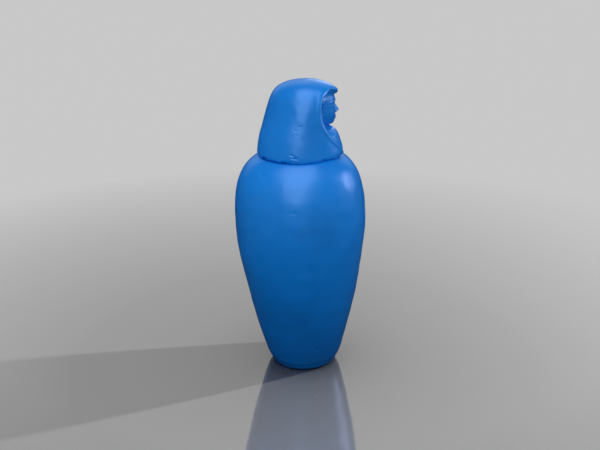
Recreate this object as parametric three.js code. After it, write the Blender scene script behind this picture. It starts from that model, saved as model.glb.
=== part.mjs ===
// A canopic jar in blue glazed faience: a hollow shouldered vessel, and the lid that rests in its mouth,
// moulded hollow as a human head in a smooth heavy wig. Millimetres, +Z up, the face looks along -Y, and
// the origin is the middle of the foot that the jar stands on.
import * as THREE from "three";
import { ParametricGeometry } from "three/addons/geometries/ParametricGeometry.js";

// ---- the vessel
const LEAN = THREE.MathUtils.degToRad(1.8); // it is a little out of upright, and leans back, towards +Y
const BODY_HEIGHT = 258; // foot to rim
const BELLY_RADIUS = 75.4;
const BELLY_HEIGHT = 183; // level of the widest girth, high on the body
const FOOT_RADIUS = 31.5; // where the foot's edge starts to turn up
const HEEL_RADIUS = 41.2; // where the turned-up edge meets the flank
const HEEL_HEIGHT = 9.1;
const FLANK_PULL = [45.5, 9.5]; // radius and level that the flank sets off towards from the heel
const BELLY_PULL = 131; // level that the flank comes to the belly from
const SHOULDER_PULL = 237; // level that the shoulder leaves the belly for
const RIM_PULL = [62, 249]; // radius and level that the shoulder comes to the rim from
const RIM_RADIUS = 46; // outer edge of the flat rim
const MOUTH_RADIUS = 34;
const WALL = 9;
const FLOOR = 14; // thickness of the bottom
const AROUND_JAR = 56;

// ---- the lid, its levels h measured up from its seat on the rim
const HEAD_HEIGHT = 82.6;
const HEAD_RADIUS = 40; // of the wig, at the temples
const BASE_FLARE = 8.5; // how much wider the wig spreads at the base
const FLARE_REACH = 31; // how far up the flare is felt
const HEAD_FORWARD = 8.5; // how far the crown is set forward of the base
const CHIN = 29; // level of the chin's underside
const CHEST_TOP = 29.5; // level where the chest has rounded back to the neck
const CHEST_ROUND = 8;
const TEMPLE = 56; // level where the opening in the wig is widest
const TEMPLE_ANGLE = THREE.MathUtils.degToRad(88); // its half-angle there
const LAPPET_SHARE = 0.3; // how much of that angle is left where the lappets reach the base
const HAIRLINE = 64.5; // level of the wig's edge over the middle of the forehead
const ARCH_RISE = 10; // how much higher the edge arches on either side of that
const ARCH = 3.3; // squareness of the opening's top: 2 is a quarter ellipse
const ROLL = 3.6; // how far the wig's edge is rounded in around the opening
const ROLL_WIDTH = 7; // width of that rounding
const LIP = 1; // how far the edge swells before it is rounded in
const BASE_EDGE = 5; // height over which the wig's lower edge is rounded
const BASE_INSET = 2.3; // how far that rounding comes in
const SEAT_GAP = 0.3;
const PLUG_RADIUS = 32.6; // the plug is loose in the mouth
const PLUG_DEPTH = 14;
const HOLLOW_RADIUS = 22;
const HOLLOW_TOP = 46;

const { lerp, clamp } = THREE.MathUtils;
const bump = (x, centre, width) => Math.exp(-(((x - centre) / width) ** 2));

// How far a quarter round has fallen at a distance into it.
const roundOver = (radius, into) => radius - Math.sqrt(radius ** 2 - clamp(into, 0, radius) ** 2);

// Goes smoothly from 0 to 1 as x goes from one value to another.
function smooth(x, from, to) {
  const t = clamp((x - from) / (to - from), 0, 1);
  return t * t * (3 - 2 * t);
}

// The larger of a and b, rounded where they are within k of each other.
function softMax(a, b, k) {
  const t = clamp(0.5 + (0.5 * (a - b)) / k, 0, 1);
  return lerp(b, a, t) + k * t * (1 - t);
}

// Radius of a superellipse with half-widths a and b, at an angle from b's axis.
function superellipse(angle, a, b, n) {
  return (Math.abs(Math.sin(angle) / a) ** n + Math.abs(Math.cos(angle) / b) ** n) ** (-1 / n);
}

// ---- the lid's outer form, at angle t from the middle of the face and level h

// How far the middle of each level is set forward.
const middle = (h) => 2.2 + HEAD_FORWARD * smooth(h, 20, 75) - 1.5 * smooth(h, 62, HEAD_HEIGHT);

// The wig flares to the base and closes over the crown, later in front than at the back.
function wigRadius(t, h) {
  const up = Math.max(h, 0);
  const side = HEAD_RADIUS + BASE_FLARE * bump(up, 0, FLARE_REACH);
  const closing = 8.4 + 1.5 * Math.max(Math.cos(t), 0) ** 2;
  const depth = side * Math.sqrt(Math.max(1e-12, 1 - (up / HEAD_HEIGHT) ** closing));
  return superellipse(t, depth * (1 + 0.04 * smooth(h, 10, 50)), depth, 2.1);
}

// Half-angle of the opening in the wig up to the temples: it narrows down between the lappets.
const lappetAngle = (h) => lerp(LAPPET_SHARE, 1, smooth(h, -8, TEMPLE) ** 0.7) * TEMPLE_ANGLE;

// Height of the opening's arch over the temples: it dips over the middle of the forehead.
const archHeight = (t) => HAIRLINE - TEMPLE + ARCH_RISE * smooth(Math.abs(t), 0.1, 1);

// The other leg of a quarter superellipse, where one leg is given as a share of its full length.
const quarter = (share) => (1 - clamp(share, 0, 1) ** ARCH) ** (1 / ARCH);

// Half-angle of the opening, closing over the forehead.
const openingAngle = (h) => lappetAngle(h) * quarter((h - TEMPLE) / archHeight(1));

// Level of the opening's upper edge at an angle.
const openingTop = (t) => TEMPLE + archHeight(t) * quarter(Math.abs(t) / TEMPLE_ANGLE);

// Distance in from the opening's edge: how far a point is from it in shares of the arch, over how fast
// that share grows there.
function insideOpening(t, h) {
  const angle = lappetAngle(h);
  const share = Math.abs(t) / angle;
  if (h <= TEMPLE) return (1 - share) * angle * HEAD_RADIUS;
  const rise = (h - TEMPLE) / archHeight(t);
  const out = Math.max((share ** ARCH + rise ** ARCH) ** (1 / ARCH), 0.01);
  const sideways = (share / out) ** (ARCH - 1) / (angle * HEAD_RADIUS);
  const upward = (rise / out) ** (ARCH - 1) / archHeight(t);
  return (1 - out) / Math.hypot(sideways, upward);
}

// The face without its features: a broad oval, cut back under the chin.
function faceRadius(t, h) {
  const width = lerp(8, 22, smooth(h, CHIN - 5, 46) ** 0.6) - 1.5 * smooth(h, 55, 75);
  const muzzleAndBrow = 0.9 * bump(h, 59, 7) + 0.8 * bump(h, 37, 7);
  const slopes = 2 * smooth(h, CHIN + 5, CHIN) + 1.2 * smooth(h, 58, HAIRLINE);
  const front = 45 + muzzleAndBrow - slopes - middle(h);
  return superellipse(t, width, front, 2.3) - 16 * smooth(h, CHIN + 1.4, CHIN - 1.6);
}

// Chest, neck and the sides of the head within the opening, and the hair that turns in from its edge.
function groundRadius(t, h, into) {
  const side = 24 + 1.5 * smooth(h, 32, 46) - 2 * smooth(h, 60, HAIRLINE);
  const neck = superellipse(t, side, 21 + 4 * smooth(h, 30, 50), 2);
  const recess = 1 + 0.12 * Math.max(h - 9, 0);
  const top = CHEST_TOP - CHEST_ROUND;
  const sunk = recess + roundOver(CHEST_ROUND, h - top) + 30 * smooth(h, CHEST_TOP - 1, CHEST_TOP + 3);
  const wig = wigRadius(t, h);
  const hair = wig - 3 - 1.5 * Math.max(into, 0) - 6 * smooth(h, CHEST_TOP, CHEST_TOP - 6);
  return softMax(wig - sunk, softMax(neck, hair, 3), 4);
}

// Forward relief of the features over the face, at x from its middle.
function features(x, h) {
  const ax = Math.abs(x);
  const down = smooth(h, 57, 45);
  const ridge = (1.2 + 5.2 * down) * smooth(h, 61, 56) * smooth(h, 40.8, 43.6);
  const wings = 2.2 * bump(ax, 3.7, 1.7) * bump(h, 43.7, 2);
  const nose = ridge * Math.exp(-((ax / lerp(2, 3.6, down ** 1.5)) ** 2.2)) + wings;
  const sockets = -2 * bump(ax, 9, 6.6) * bump(h, 52.4, 3.8) - 1.1 * bump(ax, 4.2, 2.4) * bump(h, 52.4, 3.2);
  const eyes = 1.9 * bump(ax, 9.6, 4.9) * bump(h, 52, 2.2);
  const arch = 57.6 - 0.016 * (ax - 9.6) ** 2;
  const brows = 0.8 * bump(h, arch, 1.2) * smooth(ax, 2.6, 4.4) * smooth(ax, 20, 17.5);
  const muzzle = 1.4 * bump(ax, 0, 7.6) * bump(h, 38, 5.2);
  const lips = 1.4 * Math.exp(-((ax / 6.2) ** 4)) * (bump(h, 38.1, 1) + bump(h, 35.4, 1.2));
  const chin = 1.6 * bump(ax, 0, 5.6) * bump(h, 31.2, 2.6);
  const cheeks = 0.7 * bump(ax, 12.5, 5.2) * bump(h, 45, 5.5);
  return nose + sockets + eyes + brows + muzzle + lips + chin + cheeks;
}

// Ears lying against the wig's edge, as added radius.
function ears(t, h) {
  const across = (THREE.MathUtils.radToDeg(Math.abs(t)) - 64 + 0.3 * (h - 50)) / 10;
  const from = Math.hypot(across, (h - 50) / 8.5);
  return 4 * smooth(from, 1.12, 0.8) * lerp(0.45, 1, smooth(across, -1, 0.4)) - 1.8 * smooth(from, 0.7, 0.3);
}

function outerForm(t, h, target) {
  const into = insideOpening(t, h);
  const wig = wigRadius(t, h);
  const ground = groundRadius(t, h, into) + ears(t, h);
  const face = faceRadius(t, h);
  const inner = softMax(face, ground, 2.5);
  const fullest = ROLL * lerp(0.4, 1, smooth(Math.abs(t), 0.3, 1.1));
  const roll = Math.min(fullest, 0.3 + 0.7 * Math.max(wig - inner, 0));
  const within = smooth(into, -0.3, 1.5);
  const base = (BASE_INSET / BASE_EDGE) * roundOver(BASE_EDGE, BASE_EDGE - h);
  const lip = LIP * bump(into, -0.6 * ROLL_WIDTH, 0.4 * ROLL_WIDTH) * smooth(HEAD_HEIGHT - h, 0, 4);
  const edge = (roll / ROLL_WIDTH) * roundOver(ROLL_WIDTH, into + ROLL_WIDTH) - lip;
  const radius = lerp(wig - edge, inner, within) - base;
  const between = smooth(h, CHIN - 2, CHIN + 1) * smooth(h, HAIRLINE + 1, HAIRLINE - 3);
  const onFace = between * smooth(face - ground, -2, 2);
  const relief = within * onFace * features(radius * Math.sin(t), h);
  return target.set(radius * Math.sin(t), -(middle(h) + radius * Math.cos(t) + relief), h);
}

// ---- the lid's grid: its lines run along the opening's edge, close together there and on the face

const FACE_COLUMNS = 13; // on each side, from the middle to the opening's edge
const EDGE_LINES = 5; // across the opening's edge
const BACK_COLUMNS = 9; // on each side, from the edge to the middle of the back
const COLUMNS = 2 * (FACE_COLUMNS + EDGE_LINES + BACK_COLUMNS);
const EDGE_INSIDE = 1.6; // those lines reach this far into the opening
const EDGE_OUTSIDE = 6.4; // and this far out over the wig
const CORNER = 71; // level where the edge passes from the columns to the rows
const CORNER_ANGLE = openingAngle(CORNER);
const BEND = 34; // rows above this level bend up to the opening's top

const span = (from, to, steps) => Array.from({ length: steps }, (_, i) => lerp(from, to, i / steps));
const CROWN_ROWS = 6;
const ROW_LEVELS = [
  ...span(0, BASE_EDGE, 2),
  ...span(BASE_EDGE, 20, 3),
  ...span(20, 33, 8),
  ...span(33, CORNER - EDGE_INSIDE, 20),
  ...span(CORNER - EDGE_INSIDE, CORNER + EDGE_OUTSIDE, EDGE_LINES),
  ...Array.from({ length: CROWN_ROWS }, (_, i) =>
    lerp(CORNER + EDGE_OUTSIDE, HEAD_HEIGHT, Math.sin(((i / (CROWN_ROWS - 1)) * Math.PI) / 2))
  ),
];

function columnAngle(line, level) {
  const n = Math.abs(line);
  const edge = openingAngle(Math.min(level, CORNER));
  const from = edge - EDGE_INSIDE / HEAD_RADIUS;
  const to = edge + EDGE_OUTSIDE / HEAD_RADIUS;
  if (n <= FACE_COLUMNS) return from * (n / FACE_COLUMNS) ** 1.12;
  if (n <= FACE_COLUMNS + EDGE_LINES) return lerp(from, to, (n - FACE_COLUMNS) / EDGE_LINES);
  return lerp(to, Math.PI, (n - FACE_COLUMNS - EDGE_LINES) / BACK_COLUMNS);
}

function bentLevel(t, level) {
  const top = t < CORNER_ANGLE ? openingTop(t) : CORNER;
  if (level <= BEND) return level;
  if (level <= CORNER) return lerp(BEND, top, (level - BEND) / (CORNER - BEND));
  return lerp(top, HEAD_HEIGHT, (level - CORNER) / (HEAD_HEIGHT - CORNER));
}

// The underside, as radius and level, from the top of the hollow out to the base's edge.
const UNDERSIDE = [
  [0, HOLLOW_TOP],
  [HOLLOW_RADIUS * 0.6, HOLLOW_TOP - 3],
  [HOLLOW_RADIUS * 0.92, HOLLOW_TOP - 11],
  [HOLLOW_RADIUS, HOLLOW_TOP - 22],
  [HOLLOW_RADIUS, -PLUG_DEPTH],
  [PLUG_RADIUS - 1.5, -PLUG_DEPTH],
  [PLUG_RADIUS, 1.5 - PLUG_DEPTH],
  [PLUG_RADIUS, 0],
  [RIM_RADIUS, 0],
];
const ROWS = UNDERSIDE.length + ROW_LEVELS.length - 1;

function lidSurface(u, v, target) {
  const line = (u - 0.5) * COLUMNS;
  const row = Math.round(v * ROWS);
  if (row < UNDERSIDE.length) {
    const [radius, level] = UNDERSIDE[row];
    const t = Math.sign(line) * columnAngle(line, 0);
    const forward = radius === RIM_RADIUS ? middle(0) : 0;
    return target.set(radius * Math.sin(t), -forward - radius * Math.cos(t), level);
  }
  const level = ROW_LEVELS[row - UNDERSIDE.length];
  const t = columnAngle(line, level);
  return outerForm(Math.sign(line) * t, bentLevel(t, level), target);
}

// ---- the vessel's wall, as one closed outline turned about its axis

function bezier(from, pullFrom, pullTo, to, steps) {
  const points = [from, pullFrom, pullTo, to].map(([radius, level]) => new THREE.Vector2(radius, level));
  return new THREE.CubicBezierCurve(...points).getPoints(steps);
}

function jarGeometry() {
  const under = -2; // ground off flat once the jar leans
  const foot = [FOOT_RADIUS - 3, under];
  const heel = [HEEL_RADIUS, HEEL_HEIGHT];
  const belly = [BELLY_RADIUS, BELLY_HEIGHT];
  const rim = [RIM_RADIUS, BODY_HEIGHT];
  const mouthFoot = [MOUTH_RADIUS, BODY_HEIGHT - WALL];
  const innerRadius = BELLY_RADIUS - WALL;
  const innerPull = [innerRadius, SHOULDER_PULL - WALL];
  const innerBelly = [innerRadius, BELLY_HEIGHT];
  const basin = [HEEL_RADIUS - WALL - 8, FLOOR];
  const outline = [
    new THREE.Vector2(0, under),
    ...bezier(foot, [FOOT_RADIUS + 6, under + 1.5], [HEEL_RADIUS - 2, 4], heel, 5),
    ...bezier(heel, FLANK_PULL, [BELLY_RADIUS, BELLY_PULL], belly, 9).slice(1),
    ...bezier(belly, [BELLY_RADIUS, SHOULDER_PULL], RIM_PULL, rim, 8).slice(1),
    new THREE.Vector2(MOUTH_RADIUS + 1, BODY_HEIGHT),
    new THREE.Vector2(MOUTH_RADIUS, BODY_HEIGHT - 1),
    ...bezier(mouthFoot, [innerRadius - 10, mouthFoot[1] - 2], innerPull, innerBelly, 5),
    ...bezier(innerBelly, [innerRadius, BELLY_PULL], [basin[0] + 10, FLOOR + 6], basin, 6).slice(1),
    new THREE.Vector2(0, FLOOR),
  ];
  return new THREE.LatheGeometry(outline, AROUND_JAR);
}

// Leans the turned vessel back about its foot, and grinds it flat where it would reach below the ground.
function leanAndGrind(geometry) {
  geometry.rotateX(Math.PI / 2 - LEAN); // the lathe turns about Y
  const place = geometry.getAttribute("position");
  for (let i = 0; i < place.count; i++) place.setZ(i, Math.max(place.getZ(i), 0));
  return geometry;
}

const faience = new THREE.MeshStandardMaterial({ color: 0x0a5cb4, roughness: 0.3, metalness: 0 });

function makeJar() {
  const jar = new THREE.Mesh(leanAndGrind(jarGeometry()), faience);
  jar.name = "jar";
  return jar;
}

function makeLid() {
  const lid = new THREE.Mesh(new ParametricGeometry(lidSurface, COLUMNS, ROWS), faience);
  lid.name = "head_lid";
  lid.position.z = BODY_HEIGHT + SEAT_GAP;
  return lid;
}

// The lid sits square on the rim, so it leans with the jar.
function makeCanopicJar() {
  const leaning = new THREE.Group();
  leaning.rotation.x = -LEAN;
  leaning.add(makeLid());
  const whole = new THREE.Group();
  whole.add(makeJar(), leaning);
  return whole;
}

export default makeCanopicJar();
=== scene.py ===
"""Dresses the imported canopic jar: its vessel and its head lid as fine surfaces in a blue faience glaze.

Each surface is a function of two parameters worked out on a numpy grid, in millimetres, and put into a mesh
in metres. Both pieces are shaped upright and then lean back together, as the solids they stand for do.
"""

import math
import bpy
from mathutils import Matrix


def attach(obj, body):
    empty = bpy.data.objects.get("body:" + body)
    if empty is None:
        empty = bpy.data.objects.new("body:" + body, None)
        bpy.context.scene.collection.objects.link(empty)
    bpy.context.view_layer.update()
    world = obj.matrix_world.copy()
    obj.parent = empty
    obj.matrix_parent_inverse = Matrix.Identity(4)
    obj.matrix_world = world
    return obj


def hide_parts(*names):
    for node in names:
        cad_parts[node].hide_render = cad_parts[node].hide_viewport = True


bl_info = {
    "name": "Canopic Jar",
    "version": (1, 0, 0),
    "blender": (4, 5, 0),
    "location": "3D View > Sidebar > Canopic Jar",
    "description": "Models a glazed canopic jar with a human-headed lid",
    "category": "Add Mesh",
}

from types import SimpleNamespace

import bpy
import numpy as np
from bpy.props import FloatProperty, FloatVectorProperty, IntProperty, PointerProperty
from mathutils import Vector

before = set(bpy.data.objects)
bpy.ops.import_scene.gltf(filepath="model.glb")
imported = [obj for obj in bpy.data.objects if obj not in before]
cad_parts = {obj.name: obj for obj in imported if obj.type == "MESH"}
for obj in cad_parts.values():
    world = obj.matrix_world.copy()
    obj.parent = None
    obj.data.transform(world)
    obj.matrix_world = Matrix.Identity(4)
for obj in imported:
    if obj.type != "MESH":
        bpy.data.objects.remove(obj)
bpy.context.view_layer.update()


def length(name, description, size):
    """A length property, kept in metres, with its default size given in millimetres."""
    return FloatProperty(name=name, description=description, default=size / 1000, min=0, unit="LENGTH")


class CanopicVessel(bpy.types.PropertyGroup):
    """Sizes of the vessel."""

    lean: FloatProperty(
        name="Lean", description="How far the jar leans back", default=math.radians(1.8), subtype="ANGLE"
    )
    body_height: length("Body height", "From the foot to the rim", 258)
    belly_radius: length("Belly radius", "Widest girth", 75.4)
    belly_height: length("Belly height", "Level of the widest girth", 183)
    foot_radius: length("Foot radius", "Where the foot's edge starts to turn up", 31.5)
    heel_radius: length("Heel radius", "Where the turned-up edge meets the flank", 41.2)
    heel_height: length("Heel height", "Level where the turned-up edge meets the flank", 9.1)
    flank_pull: length("Flank pull", "Radius that the flank sets off towards from the heel", 45.5)
    belly_pull: length("Belly pull", "Level that the flank comes to the belly from", 131)
    shoulder_pull: length("Shoulder pull", "Level that the shoulder leaves the belly for", 237)
    rim_pull: length("Rim pull", "Radius that the shoulder comes to the rim from", 62)
    rim_radius: length("Rim radius", "Outer edge of the flat rim", 46)
    mouth_radius: length("Mouth radius", "Inner edge of the rim", 34)
    wall: length("Wall", "Thickness of the wall", 9)
    floor: length("Floor", "Thickness of the bottom", 14)
    unevenness: length("Unevenness", "How far the hand-made surface strays from round", 0.34)
    columns: IntProperty(name="Columns", description="Grid lines around the vessel", default=336, min=24)


class CanopicLid(bpy.types.PropertyGroup):
    """Sizes of the lid, its levels measured up from its seat on the rim."""

    head_height: length("Head height", "From the seat to the crown", 82.6)
    head_radius: length("Head radius", "Radius of the wig at the temples", 40)
    base_flare: length("Base flare", "How much wider the wig spreads at the base", 8.5)
    flare_reach: length("Flare reach", "How far up the flare is felt", 31)
    forward: length("Forward set", "How far the crown is set forward of the base", 8.5)
    chin: length("Chin", "Level of the chin's underside", 29)
    chest_top: length("Chest top", "Level where the chest has rounded back to the neck", 29.5)
    chest_round: length("Chest round", "Radius of the chest's rounded top", 8)
    temple: length("Temple", "Level where the opening in the wig is widest", 56)
    hairline: length("Hairline", "Level of the wig's edge over the middle of the forehead", 64.5)
    arch_rise: length("Arch rise", "How much higher the edge arches on either side of that", 10)
    temple_angle: FloatProperty(
        name="Temple angle", description="Half-angle of the opening at the temples",
        default=math.radians(88), subtype="ANGLE",
    )
    lappet_share: FloatProperty(
        name="Lappet share", description="Share of the temple angle left where the lappets reach the base",
        default=0.3, min=0, max=1,
    )
    arch: FloatProperty(
        name="Arch", description="Squareness of the opening's top: 2 is a quarter ellipse", default=3.3, min=1
    )
    roll: length("Roll", "How far the wig's edge is rounded in around the opening", 3.6)
    roll_width: length("Roll width", "Width of that rounding", 7)
    lip: length("Lip", "How far the edge swells before it is rounded in", 1)
    base_edge: length("Base edge", "Height over which the wig's lower edge is rounded", 5)
    base_inset: length("Base inset", "How far that rounding comes in", 2.3)
    seat_gap: length("Seat gap", "Between the rim and the lid", 0.3)
    plug_radius: length("Plug radius", "Of the ring that hangs in the mouth", 32.6)
    plug_depth: length("Plug depth", "How far the ring reaches below the seat", 14)
    hollow_radius: length("Hollow radius", "Of the lid's inside", 22)
    hollow_top: length("Hollow top", "Level of the top of the lid's inside", 46)
    unevenness: length("Unevenness", "How far the modelled surface strays from smooth", 0.26)


class CanopicGlaze(bpy.types.PropertyGroup):
    """Colours and finish of the glaze."""

    blue: FloatVectorProperty(
        name="Blue", description="Main colour of the glaze", subtype="COLOR", size=4,
        min=0, max=1, default=(0.0008, 0.19, 0.69, 1),
    )
    thin: FloatVectorProperty(
        name="Thin glaze", description="Colour where the glaze lies thin", subtype="COLOR", size=4,
        min=0, max=1, default=(0.001, 0.23, 0.78, 1),
    )
    # also the colour that the painted shade towards the foot goes to
    pooled: FloatVectorProperty(
        name="Pooled glaze", description="Colour where the glaze ran together", subtype="COLOR", size=4,
        min=0, max=1, default=(0.0005, 0.075, 0.31, 1),
    )
    roughness: FloatProperty(
        name="Roughness", description="Roughness of the glaze", default=0.31, min=0, max=1
    )


# ---- numbers and curves


def millimetres(group):
    """The lengths of a property group in millimetres, and its other values as they are."""
    values = {}
    for name, prop in group.bl_rna.properties.items():
        if prop.type in {"FLOAT", "INT"}:
            value = getattr(group, name)
            values[name] = value * 1000 if prop.unit == "LENGTH" else value
    return SimpleNamespace(**values)


def mix(a, b, share):
    return a + (b - a) * share


def smooth(x, start, end):
    """Goes smoothly from 0 to 1 as x goes from start to end: 3 t squared less 2 t cubed."""
    t = np.clip((x - start) / (end - start), 0, 1)
    return t * t * (3 - 2 * t)


def bump(x, centre, width):
    """A bell: e to the minus square of the distance from the centre in widths."""
    return np.exp(-(((x - centre) / width) ** 2))


def soft_max(a, b, reach):
    """The larger of a and b, rounded where they are within reach of each other."""
    t = np.clip(0.5 + 0.5 * (a - b) / reach, 0, 1)
    return mix(b, a, t) + reach * t * (1 - t)


def round_over(radius, into):
    """How far a quarter round has fallen at a distance into it."""
    return radius - np.sqrt(np.maximum(radius**2 - np.clip(into, 0, radius) ** 2, 0))


def superellipse(angle, a, b, power):
    """Radius of a superellipse with half-widths a and b, at an angle from b's axis."""
    return (np.abs(np.sin(angle) / a) ** power + np.abs(np.cos(angle) / b) ** power) ** (-1 / power)


def ripple(points, wavelength, seed, waves=20):
    """Smooth unevenness of about unit size: a sum of plane waves in seeded directions and phases."""
    rng = np.random.default_rng(seed)
    directions = rng.normal(size=(waves, 3))
    directions /= np.linalg.norm(directions, axis=1, keepdims=True)
    lengths = wavelength * rng.uniform(0.7, 1.5, waves)
    phases = rng.uniform(0, 2 * np.pi, waves)
    total = sum(np.cos(points @ d * (2 * np.pi / w) + p) for d, w, p in zip(directions, lengths, phases))
    return total * np.sqrt(2 / waves) / 1.2


class Scar:
    """A dent or flaked patch: its angle in degrees and its level, half its width and height along the
    surface, how deep it goes, what share of it is edge, and how much it falls towards the right.
    """

    def __init__(self, angle, level, width, height, depth, edge=0.35, slant=0.0):
        self.angle = math.radians(angle)
        self.level = level
        self.width = width
        self.height = height
        self.depth = depth
        self.edge = edge
        self.slant = slant


def scarred(scars, t, h, place):
    """How deep the surface is sunk: each scar is an oval with a wandering outline."""
    wander = 0.22 * ripple(place, 5, 31)
    sunk = 0
    for scar in scars:
        around = (t - scar.angle + np.pi) % (2 * np.pi) - np.pi
        across = around * np.hypot(place[..., 0], place[..., 1]) / scar.width
        up = (h - scar.level) / scar.height + scar.slant * across
        sunk = np.maximum(sunk, scar.depth * smooth(np.hypot(across, up) + wander, 1, 1 - scar.edge))
    return sunk


def bezier(a, b, c, d, count):
    """Points on a cubic Bezier curve through a and d, drawn towards b and c, without its first point."""
    t = np.linspace(0, 1, count + 1)[1:, None]
    a, b, c, d = map(np.asarray, (a, b, c, d))
    return (1 - t) ** 3 * a + 3 * (1 - t) ** 2 * t * b + 3 * (1 - t) * t**2 * c + t**3 * d


def straight(a, b, count):
    """Points evenly along a line from a to b, without a."""
    return mix(np.asarray(a, float), np.asarray(b, float), np.linspace(0, 1, count + 1)[1:, None])


# ---- the vessel


UNDER = -2.0  # the foot's level before it is ground off flat
FOOT_ROWS = 4
HEEL_ROWS = 14
FLANK_ROWS = 96
SHOULDER_ROWS = 72
RIM_ROW = FOOT_ROWS + HEEL_ROWS + FLANK_ROWS + SHOULDER_ROWS
VESSEL_SCARS = (
    Scar(-160, 247, 5, 4, 0.9, edge=0.9),  # a soft dimple on the shoulder
    Scar(-123, 211, 3.6, 1.3, 0.6, edge=0.6),  # two marks on the belly
    Scar(-133, 214, 2, 1.4, 0.3, edge=0.8),
    Scar(-100, 33, 2.6, 2.2, 1.1, edge=0.8),  # a pit above the foot
    Scar(-154, 5, 6.5, 3.4, 1.5, edge=0.6),  # a chip off the foot
)


def wall_outline(v):
    """The vessel's wall as one line of radius and level: under the foot, up the outside, in at the mouth,
    and down the inside to the middle of the floor. Rounds are Bezier curves, the rest is straight.
    """
    foot = (v.foot_radius - 3, UNDER)
    foot_pull = (v.foot_radius + 6, UNDER + 1.5)
    heel = (v.heel_radius, v.heel_height)
    heel_pull = (v.heel_radius - 2, 4)
    flank_pull = (v.flank_pull, v.heel_height + 0.4)
    belly = (v.belly_radius, v.belly_height)
    belly_pull = (v.belly_radius, v.belly_pull)
    shoulder_pull = (v.belly_radius, v.shoulder_pull)
    rim = (v.rim_radius, v.body_height)
    rim_pull = (v.rim_pull, v.body_height - 9)
    rim_inside = (v.mouth_radius + 1, v.body_height)
    mouth_top = (v.mouth_radius, v.body_height - 1)
    mouth_foot = (v.mouth_radius, v.body_height - v.wall)
    inner_radius = v.belly_radius - v.wall
    mouth_pull = (inner_radius - 10, v.body_height - v.wall - 2)
    inner_shoulder_pull = (inner_radius, v.shoulder_pull - v.wall)
    inner_belly = (inner_radius, v.belly_height)
    inner_flank_pull = (inner_radius, v.belly_pull)
    basin = (v.heel_radius - v.wall - 8, v.floor)
    basin_pull = (v.heel_radius - v.wall + 2, v.floor + 6)
    return np.concatenate([
        [(0, UNDER)],
        straight((0, UNDER), foot, FOOT_ROWS),
        bezier(foot, foot_pull, heel_pull, heel, HEEL_ROWS),
        bezier(heel, flank_pull, belly_pull, belly, FLANK_ROWS),
        bezier(belly, shoulder_pull, rim_pull, rim, SHOULDER_ROWS),
        straight(rim, rim_inside, 6),
        straight(rim_inside, mouth_top, 2),
        straight(mouth_top, mouth_foot, 4),
        bezier(mouth_foot, mouth_pull, inner_shoulder_pull, inner_belly, 20),
        bezier(inner_belly, inner_flank_pull, basin_pull, basin, 24),
        straight(basin, (0, v.floor), 4),
    ])


def turned_wall(v):
    """The vessel's grid: the wall's outline carried round the axis, a row for each point of the outline.
    The outside strays from round by a slow ripple and a finer one, and has its scars.
    """
    outline = wall_outline(v)
    outside = 1 - smooth(np.arange(len(outline)), RIM_ROW - 4, RIM_ROW)
    angle = np.linspace(0, 2 * np.pi, v.columns, endpoint=False)
    radius, level = outline[:, :1], outline[:, 1:]
    level = level + 0 * angle
    place = np.stack([radius * np.sin(angle), -radius * np.cos(angle), level], -1)
    stray = v.unevenness * (0.8 * ripple(place, 70, 3) + 0.4 * ripple(place, 22, 4))
    stray = stray - scarred(VESSEL_SCARS, angle, level, place)
    radius = radius + stray * outside[:, None] * smooth(radius, 0, 30)
    return np.stack([radius * np.sin(angle), -radius * np.cos(angle), level], -1)


# ---- the lid's outer form, at angle t from the middle of the face and level h


def middle(lid, h):
    """How far forward the middle of each level lies: the crown is set forward of the base."""
    return 2.2 + lid.forward * smooth(h, 20, 75) - 1.5 * smooth(h, 62, lid.head_height)


def wig_radius(lid, t, h):
    """The wig: a rounded cross-section that flares to the base by a bell, and closes over the crown as
    the square root of 1 less a high power of the level's share, a higher one in front.
    """
    up = np.maximum(h, 0)
    side = lid.head_radius + lid.base_flare * bump(up, 0, lid.flare_reach)
    closing = 8.4 + 1.5 * np.maximum(np.cos(t), 0) ** 2
    depth = side * np.sqrt(np.maximum(1e-12, 1 - (up / lid.head_height) ** closing))
    return superellipse(t, depth * (1 + 0.04 * smooth(h, 10, 50)), depth, 2.1)


def lappet_angle(lid, h):
    """Half-angle of the opening in the wig up to the temples: it narrows down between the lappets."""
    return mix(lid.lappet_share, 1, smooth(h, -8, lid.temple) ** 0.7) * lid.temple_angle


def arch_height(lid, t):
    """Height of the opening's arch over the temples: it dips over the middle of the forehead."""
    return lid.hairline - lid.temple + lid.arch_rise * smooth(np.abs(t), 0.1, 1)


def quarter(lid, share):
    """The other leg of a quarter superellipse, where one leg is given as a share of its full length."""
    return (1 - np.clip(share, 0, 1) ** lid.arch) ** (1 / lid.arch)


def opening_angle(lid, h):
    """Half-angle of the opening, closing over the forehead as a quarter superellipse."""
    return lappet_angle(lid, h) * quarter(lid, (h - lid.temple) / arch_height(lid, 1))


def opening_top(lid, t):
    """Level of the opening's upper edge: the same quarter superellipse, read by its angle."""
    return lid.temple + arch_height(lid, t) * quarter(lid, np.abs(t) / lid.temple_angle)


def inside_opening(lid, t, h):
    """Distance in from the opening's edge: how far a point is from it in shares of the arch, over how fast
    that share grows there.
    """
    angle = lappet_angle(lid, h)
    height = arch_height(lid, t)
    share = np.abs(t) / angle
    rise = np.maximum(h - lid.temple, 0) / height
    out = np.maximum((share**lid.arch + rise**lid.arch) ** (1 / lid.arch), 0.01)
    sideways = (share / out) ** (lid.arch - 1) / (angle * lid.head_radius)
    upward = (rise / out) ** (lid.arch - 1) / height
    arched = (1 - out) / np.maximum(np.hypot(sideways, upward), 1e-6)
    return np.where(h <= lid.temple, (1 - share) * angle * lid.head_radius, arched)


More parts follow.
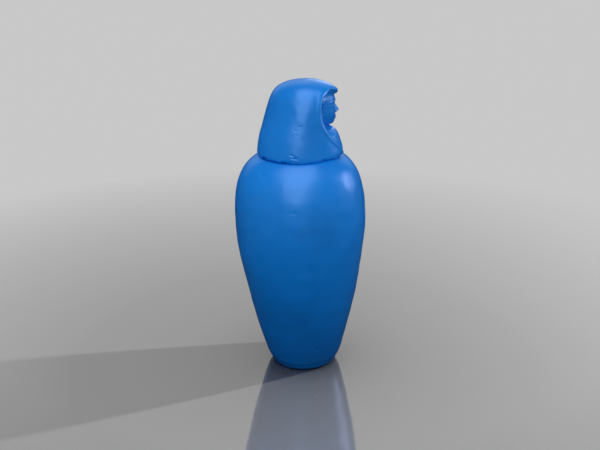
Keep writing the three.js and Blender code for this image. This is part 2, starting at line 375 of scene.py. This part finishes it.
def face_radius(lid, t, h):
    """The face without its features: a broad oval that narrows to the jaw, cut back under the chin."""
    width = mix(8, 22, smooth(h, lid.chin - 5, 46) ** 0.6) - 1.5 * smooth(h, 55, 75)
    muzzle_and_brow = 0.9 * bump(h, 59, 7) + 0.8 * bump(h, 37, 7)
    slopes = 2 * smooth(h, lid.chin + 5, lid.chin) + 1.2 * smooth(h, 58, lid.hairline)
    front = 45 + muzzle_and_brow - slopes - middle(lid, h)
    return superellipse(t, width, front, 2.3) - 16 * smooth(h, lid.chin + 1.4, lid.chin - 1.6)


def ground_radius(lid, t, h, into):
    """Chest, neck and the sides of the head within the opening: the chest sinks under the wig's surface
    as it rises and is rounded back at its top, the neck is an ellipse that widens to the head, and the
    hair turns in from the opening's edge along a slope.
    """
    side = 24 + 1.5 * smooth(h, 32, 46) - 2 * smooth(h, 60, lid.hairline)
    neck = superellipse(t, side, 21 + 4 * smooth(h, 30, 50), 2)
    recess = 1 + 0.12 * np.maximum(h - 9, 0)
    top = lid.chest_top - lid.chest_round
    sunk = recess + round_over(lid.chest_round, h - top)
    sunk = sunk + 30 * smooth(h, lid.chest_top - 1, lid.chest_top + 3)
    wig = wig_radius(lid, t, h)
    hair = wig - 3 - 1.5 * np.maximum(into, 0) - 6 * smooth(h, lid.chest_top, lid.chest_top - 6)
    return soft_max(wig - sunk, soft_max(neck, hair, 3), 4)


def nose(ax, h):
    """A ridge that grows and widens down to the tip, a bell for each wing, a dent for each nostril."""
    down = smooth(h, 57, 45)
    ridge = (1.2 + 5.2 * down) * smooth(h, 61, 56) * smooth(h, 40.8, 43.6)
    body = ridge * np.exp(-((ax / mix(2, 3.6, down**1.5)) ** 2.2))
    tip = 0.9 * bump(ax, 0, 2.8) * bump(h, 44.6, 2.4)
    wings = 2.2 * bump(ax, 3.7, 1.7) * bump(h, 43.7, 2)
    return body + tip + wings - 1.4 * bump(ax, 2.2, 1.1) * bump(h, 41.7, 0.9)


def eye(ax, h):
    """A socket, the swell of the lids, an almond with a raised rim and the eyeball in it, and a line that
    runs back from its outer corner. The almond is 1 less the square of x and the height in half-widths.
    """
    x = ax - 9.6
    y = h - 52 - 0.05 * x
    almond = 1 - (x / 5.4) ** 2 - np.abs(y) / np.where(y > 0, 2.6, 1.9)
    socket = -2 * bump(ax, 9, 6.6) * bump(h, 52.4, 3.8) - 1.1 * bump(ax, 4.2, 2.4) * bump(h, 52.4, 3.2)
    lids = 1.2 * bump(x, 0, 5.8) * bump(y, 0, 4)
    rim = np.where(y > 0, 0.6, 0.4) * np.exp(-(((almond + 0.12) / 0.22) ** 2))
    ball = 0.45 * np.sqrt(np.maximum(1 - (x / 5.8) ** 2 - (y / 3.7) ** 2, 0)) - 0.35
    line = 0.45 * bump(h, 52.2 + 0.02 * x, 0.7) * smooth(ax, 13.8, 15.5) * smooth(ax, 20.5, 19)
    return socket + lids + rim + ball * smooth(almond, -0.05, 0.12) + line


def brow(ax, h):
    """A raised band along a shallow arch."""
    arch = 57.6 - 0.016 * (ax - 9.6) ** 2
    return 0.65 * np.exp(-(((h - arch) / 0.95) ** 4)) * smooth(ax, 2.6, 4.4) * smooth(ax, 20, 17.5)


def mouth(ax, h):
    """Two lips that part along a nearly level line and taper to the corners, on a low swell, with a groove
    from the nose down to the upper lip.
    """
    half = 6.6
    share = np.clip(ax / half, 0, 1)
    line = 36.9 + 0.2 * share**2
    taper = np.sqrt(1 - share**2)
    cupid = 0.3 * bump(ax, 1.7, 1.3) - 0.25 * bump(ax, 0, 0.9)
    up = np.clip((h - line) / ((1.9 + cupid) * taper**0.8 + 1e-3), -1.6, 1.6)
    down = np.clip((line - h) / (2.4 * taper**0.7 + 1e-3), -1.6, 1.6)
    upper = 1.5 * taper * smooth(up, 1.15, 0.75) * smooth(up, -0.05, 0.45)
    lower = 1.6 * taper * smooth(down, 1.25, 0.6) * smooth(down, -0.05, 0.45)
    parting = -0.5 * bump(h, line, 0.45) * smooth(ax, half + 0.6, half - 1)
    corners = -0.5 * bump(ax, half + 0.4, 1.3) * bump(h, line, 1.5)
    swell = 1.4 * bump(ax, 0, 7.6) * bump(h, 38, 5.2) - 0.6 * bump(ax, 0, 5) * bump(h, 33.2, 1.1)
    groove = -0.5 * bump(ax, 0, 1.1) * smooth(h, 38.8, 39.8) * smooth(h, 42.4, 41.4)
    return upper + lower + parting + corners + swell + groove


def features(x, h):
    """Forward relief of the whole face: the sum of its features, chin and cheeks, alike on both sides."""
    ax = np.abs(x)
    chin = 1.6 * bump(ax, 0, 5.6) * bump(h, 31.2, 2.6)
    cheeks = 0.7 * bump(ax, 12.5, 5.2) * bump(h, 45, 5.5)
    fold = -0.35 * bump(ax - (6 + 0.5 * (43 - h)), 0, 1.4) * smooth(h, 36, 39) * smooth(h, 45, 42)
    return nose(ax, h) + eye(ax, h) + brow(ax, h) + mouth(ax, h) + chin + cheeks + fold


def ears(t, h):
    """Ears against the wig's edge, as added radius: an oval pad, hollowed, with an inner ridge and a knob."""
    across = (np.degrees(np.abs(t)) - 64 + 0.3 * (h - 50)) / 10
    up = (h - 50) / 8.5
    out = np.hypot(across, up)
    pad = 4 * smooth(out, 1.12, 0.8) * mix(0.45, 1, smooth(across, -1, 0.4))
    hollow = -2 * smooth(out, 0.74, 0.5) * smooth(up, -0.62, -0.35)
    ridge = bump(out, 0.42, 0.1) * smooth(up, -0.3, 0.1)
    knob = 1.4 * bump(across, -0.62, 0.22) * bump(up, -0.12, 0.2)
    return pad + hollow + ridge + knob


LID_SCARS = (
    Scar(-128.5, 10, 3.8, 1.2, 0.7, slant=1.3),  # two flakes off the wig near its base
    Scar(-125, 6.2, 4.8, 1.1, 0.6, slant=0.6),
    Scar(-126, 36, 2.4, 1.4, 0.3, edge=0.9),  # three faint dents above them
    Scar(-119, 40, 2, 1.6, 0.25, edge=0.9),
    Scar(-122, 31, 3, 1.2, 0.2, edge=0.9),
)
BASE_BITES = (  # angle, half-width in degrees and height of what is gone from the lower edge
    (-174, 5, 3.2),
    (-157, 10, 1.5),
    (-139, 6, 2.2),
    (-86, 4, 2.2),
    (-75, 9, 1.1),
)


def bitten_base(t, h, place):
    """How far the lid's lower edge is raised by wear and by small bites out of it."""
    degrees = np.degrees(t)
    worn = np.maximum(0.15 + 0.2 * ripple(place, 9, 41), 0)
    for angle, half, height in BASE_BITES:
        away = np.abs(degrees - angle) + 1.5 * ripple(place, 6, 42)
        worn = np.maximum(worn, height * smooth(away, half + 1, half - 1))
    return worn * smooth(h, 6, 0)


def head_form(lid, t, h):
    """The lid's outside. Outside the opening it is the wig, rounded over at the edge; inside it is the
    larger of face and ground, and the face's features stand forward of it.
    """
    into = inside_opening(lid, t, h)
    wig = wig_radius(lid, t, h)
    ground = ground_radius(lid, t, h, into) + ears(t, h)
    face = face_radius(lid, t, h)
    inner = soft_max(face, ground, 2.5)
    fullest = lid.roll * mix(0.4, 1, smooth(np.abs(t), 0.3, 1.1))
    roll = np.minimum(fullest, 0.3 + 0.7 * np.maximum(wig - inner, 0))
    within = smooth(into, -0.3, 1.5)
    base = lid.base_inset / lid.base_edge * round_over(lid.base_edge, lid.base_edge - h)
    lip = lid.lip * bump(into, -0.6 * lid.roll_width, 0.4 * lid.roll_width)
    lip = lip * smooth(lid.head_height - h, 0, 4)
    edge = roll / lid.roll_width * round_over(lid.roll_width, into + lid.roll_width) - lip
    radius = mix(wig - edge, inner, within) - base
    on_face = smooth(face - ground, -2, 2) * smooth(h, lid.chin - 2, lid.chin + 1)
    on_face = on_face * smooth(h, lid.hairline + 1, lid.hairline - 3)
    place = np.stack([radius * np.sin(t), -(middle(lid, h) + radius * np.cos(t)), h + 0 * t], -1)
    stray = lid.unevenness * (0.8 * ripple(place, 45, 11) + 0.4 * ripple(place, 15, 12)) * smooth(h, 0, 4)
    radius = radius + stray * smooth(lid.head_height - h, 0, 12) - scarred(LID_SCARS, t, h, place)
    level = h + bitten_base(t, h, place)
    forward = within * on_face * features(radius * np.sin(t), h)
    return np.stack([radius * np.sin(t), -(middle(lid, h) + radius * np.cos(t) + forward), level], -1)


CORNER = 71.0  # level where the opening's edge passes from the grid's columns to its rows
BEND = 34.0  # rows above this level bend up to the opening's top
EDGE_INSIDE = 3.0  # the grid's edge lines reach this far into the opening
EDGE_OUTSIDE = 7.0  # and this far out over the wig
FACE_COLUMNS = 76  # on each side, from the middle of the face to the edge lines
EDGE_COLUMNS = 16
BACK_COLUMNS = 96  # on each side, from the edge lines to the middle of the back
BASE_ROWS = 12  # round the base's lower edge
CHEST_ROWS = 36
FACE_FOOT = 24.0  # level below the chin, where the face's rows begin
FACE_ROWS = 98
EDGE_ROWS = 22
CROWN_ROWS = 34
DOME = 22.0  # height of the rounded top of the lid's hollow
SEAT_WIDTH = 12.0  # distance over which the seat moves forward


def lid_columns(lid, level):
    """Angles of the grid's columns at each level: some to the opening's edge, some across it, the rest
    evenly to the middle of the back.
    """
    share = np.concatenate([
        np.linspace(0, 1, FACE_COLUMNS, endpoint=False),
        np.linspace(1, 2, EDGE_COLUMNS, endpoint=False),
        np.linspace(2, 3, BACK_COLUMNS + 1),
    ])
    share = np.concatenate([-share[:0:-1], share[:-1]])
    n = np.abs(share)
    at = opening_angle(lid, np.minimum(level, CORNER))
    first = at - EDGE_INSIDE / lid.head_radius
    last = at + EDGE_OUTSIDE / lid.head_radius
    inside = first * np.minimum(n, 1) ** 1.05
    across = mix(first, last, n - 1)
    outside = mix(last, np.pi, np.clip(n - 2, 0, 1))
    return np.sign(share) * np.where(n <= 1, inside, np.where(n <= 2, across, outside))


def lid_rows(lid, t, level):
    """Levels of the grid's rows: they bend up so that one of them runs along the opening's upper edge."""
    top = np.where(np.abs(t) < opening_angle(lid, CORNER), opening_top(lid, t), CORNER)
    below = mix(BEND, top, (level - BEND) / (CORNER - BEND))
    above = mix(top, lid.head_height, (level - CORNER) / (lid.head_height - CORNER))
    return np.where(level <= BEND, level, np.where(level <= CORNER, below, above))


def lid_underside(lid, t):
    """The lid's underside as rows of radius and level: a domed hollow, the plug and the seat, which moves
    forward from the plug's middle to the wig's on its way out.
    """
    dome = np.linspace(0, np.pi / 2, 9)[:, None]
    hollow = np.hstack([lid.hollow_radius * np.sin(dome), lid.hollow_top - DOME * (1 - np.cos(dome))])
    foot = (lid.hollow_radius, -lid.plug_depth)
    turn = (lid.plug_radius - 1.5, -lid.plug_depth)
    side = (lid.plug_radius, 1.5 - lid.plug_depth)
    seat = (lid.plug_radius, 0)
    edge = (wig_radius(lid, 0, 0) - lid.base_inset - 0.5, 0)
    outline = np.concatenate([
        hollow,
        straight(hollow[-1], foot, 5),
        straight(foot, turn, 2),
        straight(turn, side, 2),
        straight(side, seat, 3),
        straight(seat, edge, 3),
    ])
    radius, level = outline[:, :1], outline[:, 1:]
    forward = middle(lid, 0) * np.maximum(radius - lid.plug_radius, 0) / SEAT_WIDTH
    return np.stack([radius * np.sin(t), -forward - radius * np.cos(t), level + 0 * t], -1)


def lid_surface(lid):
    """The lid's grid: the underside's rows, then the head's rows from the base to the crown."""
    first, last = CORNER - EDGE_INSIDE, CORNER + EDGE_OUTSIDE
    level = np.concatenate([
        lid.base_edge * (1 - np.cos(np.linspace(0, np.pi / 2, BASE_ROWS, endpoint=False))),
        np.linspace(lid.base_edge, FACE_FOOT, CHEST_ROWS, endpoint=False),
        np.linspace(FACE_FOOT, first, FACE_ROWS, endpoint=False),
        np.linspace(first, last, EDGE_ROWS, endpoint=False),
        mix(last, lid.head_height, np.sin(np.linspace(0, np.pi / 2, CROWN_ROWS))),
    ])[:, None]
    t = lid_columns(lid, level)
    head = head_form(lid, t, lid_rows(lid, t, level))
    return np.concatenate([lid_underside(lid, t[:1]), head])


# ---- meshes


def closed_mesh(name, grid):
    """A mesh from a grid that starts and ends at a pole and whose rows close on themselves."""
    rows, columns = grid.shape[:2]
    points = np.concatenate([grid[:1, 0], grid[1:-1].reshape(-1, 3), grid[-1:, 0]])
    ring = 1 + np.arange((rows - 2) * columns).reshape(rows - 2, columns)
    after = np.roll(ring, -1, axis=1)
    quads = np.stack([ring[:-1], after[:-1], after[1:], ring[1:]], -1).reshape(-1, 4)
    last = len(points) - 1
    start = np.stack([np.zeros(columns, int), after[0], ring[0]], -1)
    end = np.stack([np.full(columns, last), ring[-1], after[-1]], -1)
    mesh = bpy.data.meshes.new(name)
    mesh.from_pydata((points / 1000).tolist(), [], quads.tolist() + start.tolist() + end.tolist())
    mesh.polygons.foreach_set("use_smooth", np.ones(len(mesh.polygons), bool))
    mesh.update()
    return mesh


def lean_back(points, angle):
    """Turns points about the X axis through the foot, so that what is up leans towards +Y."""
    x, y, z = np.moveaxis(points, -1, 0)
    c, s = math.cos(angle), math.sin(angle)
    return np.stack([x, y * c + z * s, z * c - y * s], -1)


def place_piece(mesh, material, node):
    """Links a finished mesh as the piece that stands for a node of the frame."""
    piece = bpy.data.objects.new(mesh.name, mesh)
    bpy.context.scene.collection.objects.link(piece)
    mesh.materials.append(material)
    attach(piece, "root")
    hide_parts(node)
    return piece


# ---- shader node groups


def new_group(name, inputs, outputs):
    """A shader node group with float or colour sockets, its input node and its output node."""
    group = bpy.data.node_groups.new(name, "ShaderNodeTree")
    for label, value in inputs.items():
        kind = "NodeSocketColor" if isinstance(value, tuple) else "NodeSocketFloat"
        group.interface.new_socket(label, in_out="INPUT", socket_type=kind).default_value = value
    for label, kind in outputs.items():
        group.interface.new_socket(label, in_out="OUTPUT", socket_type=kind)
    return group, group.nodes.new("NodeGroupInput"), group.nodes.new("NodeGroupOutput")


class Wiring:
    """Puts nodes into a node tree and joins them up."""

    def __init__(self, tree):
        self.nodes, self.links = tree.nodes, tree.links

    def fill(self, node, inputs):
        """Gives input sockets, by name or number, a plain value each or the output to link them to."""
        for socket, value in inputs.items():
            if isinstance(value, bpy.types.NodeSocket):
                self.links.new(value, node.inputs[socket])
            else:
                node.inputs[socket].default_value = value

    def add(self, kind, inputs=None, **settings):
        """A new node with its own settings and inputs."""
        node = self.nodes.new(kind)
        for name, value in settings.items():
            setattr(node, name, value)
        self.fill(node, inputs or {})
        return node

    def map_range(self, value, low, high, to_low=0.0, to_high=1.0):
        """A value mapped from one range to another, no further than its ends."""
        ends = {"From Min": low, "From Max": high, "To Min": to_low, "To Max": to_high}
        return self.add("ShaderNodeMapRange", {"Value": value, **ends}).outputs["Result"]

    def multiply(self, a, b):
        """The product of two outputs."""
        return self.add("ShaderNodeMath", {0: a, 1: b}, operation="MULTIPLY").outputs[0]

    def noise(self, place, scale, detail):
        """Noise with a scale in waves to the metre and a number of finer layers."""
        inputs = {"Vector": place, "Scale": scale, "Detail": detail}
        return self.add("ShaderNodeTexNoise", inputs).outputs["Fac"]

    def blend(self, share, a, b):
        """A colour that goes from a to b with the share."""
        inputs = {"Factor": share, "A": a, "B": b}
        return self.add("ShaderNodeMix", inputs, data_type="RGBA").outputs["Result"]

    def mix_shaders(self, share, a, b):
        """A shader that goes from a to b with the share."""
        return self.add("ShaderNodeMixShader", {0: share, 1: a.outputs[0], 2: b.outputs[0]})


def mottled_glaze():
    """The glaze's colour and roughness: slow drifts between thin and pooled glaze, fine specks, and a painted
    shade that darkens the glaze towards the foot, between two levels.
    """
    grey = (0.5, 0.5, 0.5, 1)
    group, entry, out = new_group(
        "Mottled glaze",
        {
            "Blue": grey, "Thin": grey, "Pooled": grey,
            # the last three amounts set the painted shade that darkens the glaze towards the foot
            "Roughness": 0.4, "Drift": 0.3, "Specks": 0.08, "Run": 0.55, "Run from": 0.2, "Run to": 0.02,
        },
        {"Color": "NodeSocketColor", "Roughness": "NodeSocketFloat"},
    )
    given = entry.outputs
    wires = Wiring(group)
    place = wires.add("ShaderNodeTexCoord").outputs["Object"]
    level = wires.add("ShaderNodeSeparateXYZ", {0: place}).outputs["Z"]
    slow = wires.noise(place, 14, 4)
    thin = wires.multiply(wires.map_range(slow, 0.5, 0.72), given["Drift"])
    pooled = wires.multiply(wires.map_range(slow, 0.5, 0.3), given["Drift"])
    specks = wires.multiply(wires.map_range(wires.noise(place, 420, 2), 0.66, 0.78), given["Specks"])
    # painted shade: below the upper level the colour goes towards the pooled blue, standing in for the shade
    # on the lower body
    foot_shade = wires.multiply(wires.map_range(level, given["Run from"], given["Run to"]), given["Run"])
    colour = wires.blend(thin, given["Blue"], given["Thin"])
    for share in (pooled, foot_shade, specks):
        colour = wires.blend(share, colour, given["Pooled"])
    uneven = wires.map_range(wires.noise(place, 60, 5), 0.3, 0.7, 0.88, 1.14)
    wires.fill(out, {"Color": colour, "Roughness": wires.multiply(given["Roughness"], uneven)})
    return group


def glaze_relief():
    """The glaze's fine height: a soft orange peel with small pits."""
    group, entry, out = new_group(
        "Glaze relief", {"Peel": 1.0, "Pits": 0.15}, {"Height": "NodeSocketFloat"}
    )
    wires = Wiring(group)
    place = wires.add("ShaderNodeTexCoord").outputs["Object"]
    peel = wires.multiply(wires.noise(place, 130, 3), entry.outputs["Peel"])
    cells = wires.add("ShaderNodeTexVoronoi", {"Vector": place, "Scale": 95})
    hole = wires.map_range(cells.outputs["Distance"], 0, 0.12, -1, 0)
    pits = wires.multiply(hole, entry.outputs["Pits"])
    total = wires.add("ShaderNodeMath", {0: peel, 1: pits}, operation="ADD")
    wires.fill(out, {"Height": total.outputs[0]})
    return group


def shared_group(name, build):
    """A node group by its name, built the first time it is asked for."""
    return bpy.data.node_groups.get(name) or build()


def glaze_material(name, drift, peel):
    """Blue faience glaze on a Principled shader, with its own amounts of drift and relief."""
    look = bpy.context.scene.canopic_glaze
    material = bpy.data.materials.new(name)
    material.use_nodes = True
    wires = Wiring(material.node_tree)
    amounts = {
        "Blue": look.blue, "Thin": look.thin, "Pooled": look.pooled,
        "Roughness": look.roughness, "Drift": drift,
    }
    glaze = wires.add("ShaderNodeGroup", amounts, node_tree=shared_group("Mottled glaze", mottled_glaze))
    fine_height = shared_group("Glaze relief", glaze_relief)
    relief = wires.add("ShaderNodeGroup", {"Peel": peel}, node_tree=fine_height)
    height = {"Strength": 0.25, "Distance": 0.0004, "Height": relief.outputs["Height"]}
    raised = wires.add("ShaderNodeBump", height)
    wires.fill(wires.nodes["Principled BSDF"], {
        "Base Color": glaze.outputs["Color"],
        "Roughness": glaze.outputs["Roughness"],
        "Normal": raised.outputs["Normal"],
        "IOR": 1.9,
        "Specular IOR Level": 1,
        "Specular Tint": (0.2, 0.53, 1, 1),
    })
    return material


# ---- the floor, the background, the lights and the camera, in metres and degrees


CAMERA_AZIMUTH = -118.0  # round from the face towards the jar's right side and back
CAMERA_PITCH = 19.34  # how far it looks down
CAMERA_DISTANCE = 0.92  # level distance from the jar
CAMERA_HEIGHT = 0.4936
CAMERA_LEFT = 0.0055  # how far it stands to the left of the jar's middle
FLOOR_RADIUS = 0.9
LIGHT_DISTANCE = 2.0
LIGHT_AIM = 0.17  # level of the jar's middle
PALE = 0.578  # brightness of the background
SKY_LOW = 0.85  # brightness of the sky that lights matt surfaces, at the horizon
SKY_HIGH = 0.7  # and overhead
WARM = (1, 0.61, 0.61)  # colour of the lights whose reflections show on the blue glaze
FLOOR_GREY = (0.13, 0.13, 0.13, 1)
DIM_GREY = (0.012, 0.012, 0.012, 1)


def camera_side():
    """The level direction from the jar to the camera."""
    a = math.radians(CAMERA_AZIMUTH)
    return Vector((math.sin(a), -math.cos(a), 0))


def floor_material():
    """A pale, partly mirroring floor that fades into the background away from the middle, with painted shade
    close to the jar, where its colour is darkened by occlusion. The jar sees it dim, so that little light
    comes back up from it.
    """
    material = bpy.data.materials.new("pale_floor")
    material.use_nodes = True
    wires = Wiring(material.node_tree)
    wires.nodes.clear()
    place = wires.add("ShaderNodeTexCoord").outputs["Object"]
    away = wires.add("ShaderNodeVectorMath", {0: place}, operation="LENGTH").outputs["Value"]
    # painted shade: the floor's colour is darkened by ambient occlusion near the jar
    shade = wires.add("ShaderNodeAmbientOcclusion", {"Distance": 0.25, "Color": FLOOR_GREY}).outputs
    deeper = wires.add("ShaderNodeMath", {0: shade["AO"], 1: 0.4}, operation="POWER").outputs[0]
    shaded = wires.add("ShaderNodeVectorMath", {0: shade["Color"], "Scale": deeper}, operation="SCALE")
    matt = wires.add("ShaderNodeBsdfDiffuse", {"Color": shaded.outputs[0]})
    mirror = wires.add("ShaderNodeBsdfGlossy", {"Color": (1, 1, 1, 1), "Roughness": 0.06})
    dim = wires.add("ShaderNodeBsdfDiffuse", {"Color": DIM_GREY})
    clear = wires.add("ShaderNodeBsdfTransparent")
    seen = wires.add("ShaderNodeLightPath").outputs["Is Camera Ray"]
    surface = wires.mix_shaders(seen, dim, wires.mix_shaders(0.3, matt, mirror))
    faded = wires.mix_shaders(wires.map_range(away, 0.28, 0.87), surface, clear)
    wires.add("ShaderNodeOutputMaterial", {"Surface": faded.outputs[0]})
    return material


def make_floor():
    """A round floor, one flat face about the foot."""
    sides = 96
    angle = np.linspace(0, 2 * np.pi, sides, endpoint=False)
    ring = np.stack([FLOOR_RADIUS * np.cos(angle), FLOOR_RADIUS * np.sin(angle), 0 * angle], -1)
    mesh = bpy.data.meshes.new("floor")
    mesh.from_pydata(ring.tolist(), [], [list(range(sides))])
    mesh.materials.append(floor_material())
    floor = bpy.data.objects.new("floor", mesh)
    bpy.context.scene.collection.objects.link(floor)


def make_world():
    """The camera sees an even pale grey. Matt surfaces are lit by a sky that dims from the horizon
    up, and glossy ones mirror a pale wall behind the jar in a dark room.
    """
    world = bpy.data.worlds.new("studio")
    bpy.context.scene.world = world
    world.use_nodes = True
    wires = Wiring(world.node_tree)
    direction = wires.add("ShaderNodeTexCoord").outputs["Generated"]
    up = wires.add("ShaderNodeSeparateXYZ", {0: direction}).outputs["Z"]
    sky = wires.map_range(up, 0, 1, SKY_LOW, SKY_HIGH)
    behind = wires.add("ShaderNodeVectorMath", {0: direction, 1: -camera_side()}, operation="DOT_PRODUCT")
    wall = wires.map_range(behind.outputs["Value"], 0.66, 0.82, 0, PALE)
    mirrored = wires.multiply(wall, wires.map_range(up, 0.05, 0.2))
    ray = wires.add("ShaderNodeLightPath").outputs
    unseen = wires.add("ShaderNodeMix", {"Factor": ray["Is Diffuse Ray"], "A": mirrored, "B": sky})
    around = unseen.outputs["Result"]
    strength = wires.add("ShaderNodeMix", {"Factor": ray["Is Camera Ray"], "A": around, "B": PALE})
    wires.fill(wires.nodes["Background"], {"Color": (1, 1, 1, 1), "Strength": strength.outputs["Result"]})


def make_light(name, round_from_camera, elevation, watts, width, height, lights_only, colour=(1, 1, 1)):
    """An oval soft light that looks at the jar's middle and lights only the objects of one collection."""
    a, e = math.radians(CAMERA_AZIMUTH + round_from_camera), math.radians(elevation)
    towards = Vector((math.sin(a) * math.cos(e), -math.cos(a) * math.cos(e), math.sin(e)))
    light = bpy.data.lights.new(name, "AREA")
    light.shape = "ELLIPSE"
    light.size = width
    light.size_y = height
    light.energy = watts
    light.color = colour
    holder = bpy.data.objects.new(name, light)
    holder.location = Vector((0, 0, LIGHT_AIM)) + LIGHT_DISTANCE * towards
    holder.rotation_euler = towards.to_track_quat("Z", "Y").to_euler()
    bpy.context.scene.collection.objects.link(holder)
    holder.light_linking.receiver_collection = lights_only


def gather(name, *pieces):
    """A collection of objects for lights to be kept to."""
    collection = bpy.data.collections.new(name)
    for piece in pieces:
        collection.objects.link(bpy.data.objects[piece])
    return collection


def make_camera():
    """A camera with a 50 mm lens that looks down past the jar's side."""
    a = math.radians(CAMERA_AZIMUTH)
    left = Vector((-math.cos(a), -math.sin(a), 0))
    camera = bpy.data.cameras.new("camera")
    camera.lens = 50
    camera.sensor_width = 36
    holder = bpy.data.objects.new("camera", camera)
    level_place = CAMERA_DISTANCE * camera_side() + CAMERA_LEFT * left
    holder.location = level_place + Vector((0, 0, CAMERA_HEIGHT))
    holder.rotation_euler = (math.radians(90 - CAMERA_PITCH), 0, a)
    bpy.context.scene.collection.objects.link(holder)
    bpy.context.scene.camera = holder


# ---- operators


class CANOPIC_OT_vessel(bpy.types.Operator):
    """Turns the hollow vessel and glazes it"""

    bl_idname = "canopic.vessel"
    bl_label = "Make the Vessel"

    def execute(self, context):
        v = millimetres(context.scene.canopic_vessel)
        grid = lean_back(turned_wall(v), v.lean)
        grid[..., 2] = np.maximum(grid[..., 2], 0)
        place_piece(closed_mesh("glazed_vessel", grid), glaze_material("vessel_glaze", 0.3, 1.0), "jar")
        return {"FINISHED"}


class CANOPIC_OT_lid(bpy.types.Operator):
    """Models the hollow lid with its wigged head and glazes it"""

    bl_idname = "canopic.lid"
    bl_label = "Make the Head Lid"

    def execute(self, context):
        v = millimetres(context.scene.canopic_vessel)
        lid = millimetres(context.scene.canopic_lid)
        grid = lid_surface(lid)
        grid[..., 2] += v.body_height + lid.seat_gap
        grid = lean_back(grid, v.lean)
        place_piece(closed_mesh("glazed_head_lid", grid), glaze_material("lid_glaze", 0.25, 0.8), "head_lid")
        return {"FINISHED"}


class CANOPIC_OT_stage(bpy.types.Operator):
    """Sets the pale floor, the lights and the camera"""

    bl_idname = "canopic.stage"
    bl_label = "Set the Stage"

    def execute(self, context):
        context.scene.view_settings.view_transform = "Standard"
        make_floor()
        make_world()
        ground = gather("ground", "floor")
        jar = gather("canopic_jar", "glazed_vessel", "glazed_head_lid")
        make_light("side_light", 103, 17.5, 9, 0.9, 1.0, jar, WARM)
        make_light("front_light", -6, 58, 46, 1.9, 5.0, jar, WARM)
        make_light("back_light", 170, 16, 1.3, 0.6, 0.5, jar)
        make_light("floor_light", 106, 25, 95, 0.06, 0.06, ground)
        make_light("floor_fill", -3, 54, 27, 1.1, 4.3, ground)
        make_camera()
        return {"FINISHED"}


class CANOPIC_PT_sidebar(bpy.types.Panel):
    """Sizes and colours of the canopic jar, and the steps that make it."""

    bl_label = "Canopic Jar"
    bl_space_type = "VIEW_3D"
    bl_region_type = "UI"
    bl_category = "Canopic Jar"

    def draw(self, context):
        scene = context.scene
        for heading, group in (
            ("Vessel", scene.canopic_vessel),
            ("Lid", scene.canopic_lid),
            ("Glaze", scene.canopic_glaze),
        ):
            box = self.layout.box()
            box.label(text=heading)
            for name in group.__annotations__:
                box.prop(group, name)
        for operator in (CANOPIC_OT_vessel, CANOPIC_OT_lid, CANOPIC_OT_stage):
            self.layout.operator(operator.bl_idname)


CLASSES = (
    CanopicVessel,
    CanopicLid,
    CanopicGlaze,
    CANOPIC_OT_vessel,
    CANOPIC_OT_lid,
    CANOPIC_OT_stage,
    CANOPIC_PT_sidebar,
)
GROUPS = {"canopic_vessel": CanopicVessel, "canopic_lid": CanopicLid, "canopic_glaze": CanopicGlaze}


def register():
    for item in CLASSES:
        bpy.utils.register_class(item)
    for name, group in GROUPS.items():
        setattr(bpy.types.Scene, name, PointerProperty(type=group))


def unregister():
    for name in GROUPS:
        delattr(bpy.types.Scene, name)
    for item in reversed(CLASSES):
        bpy.utils.unregister_class(item)


def main():
    register()
    bpy.ops.canopic.vessel()
    bpy.ops.canopic.lid()
    bpy.ops.canopic.stage()


if __name__ == "__main__":
    main()
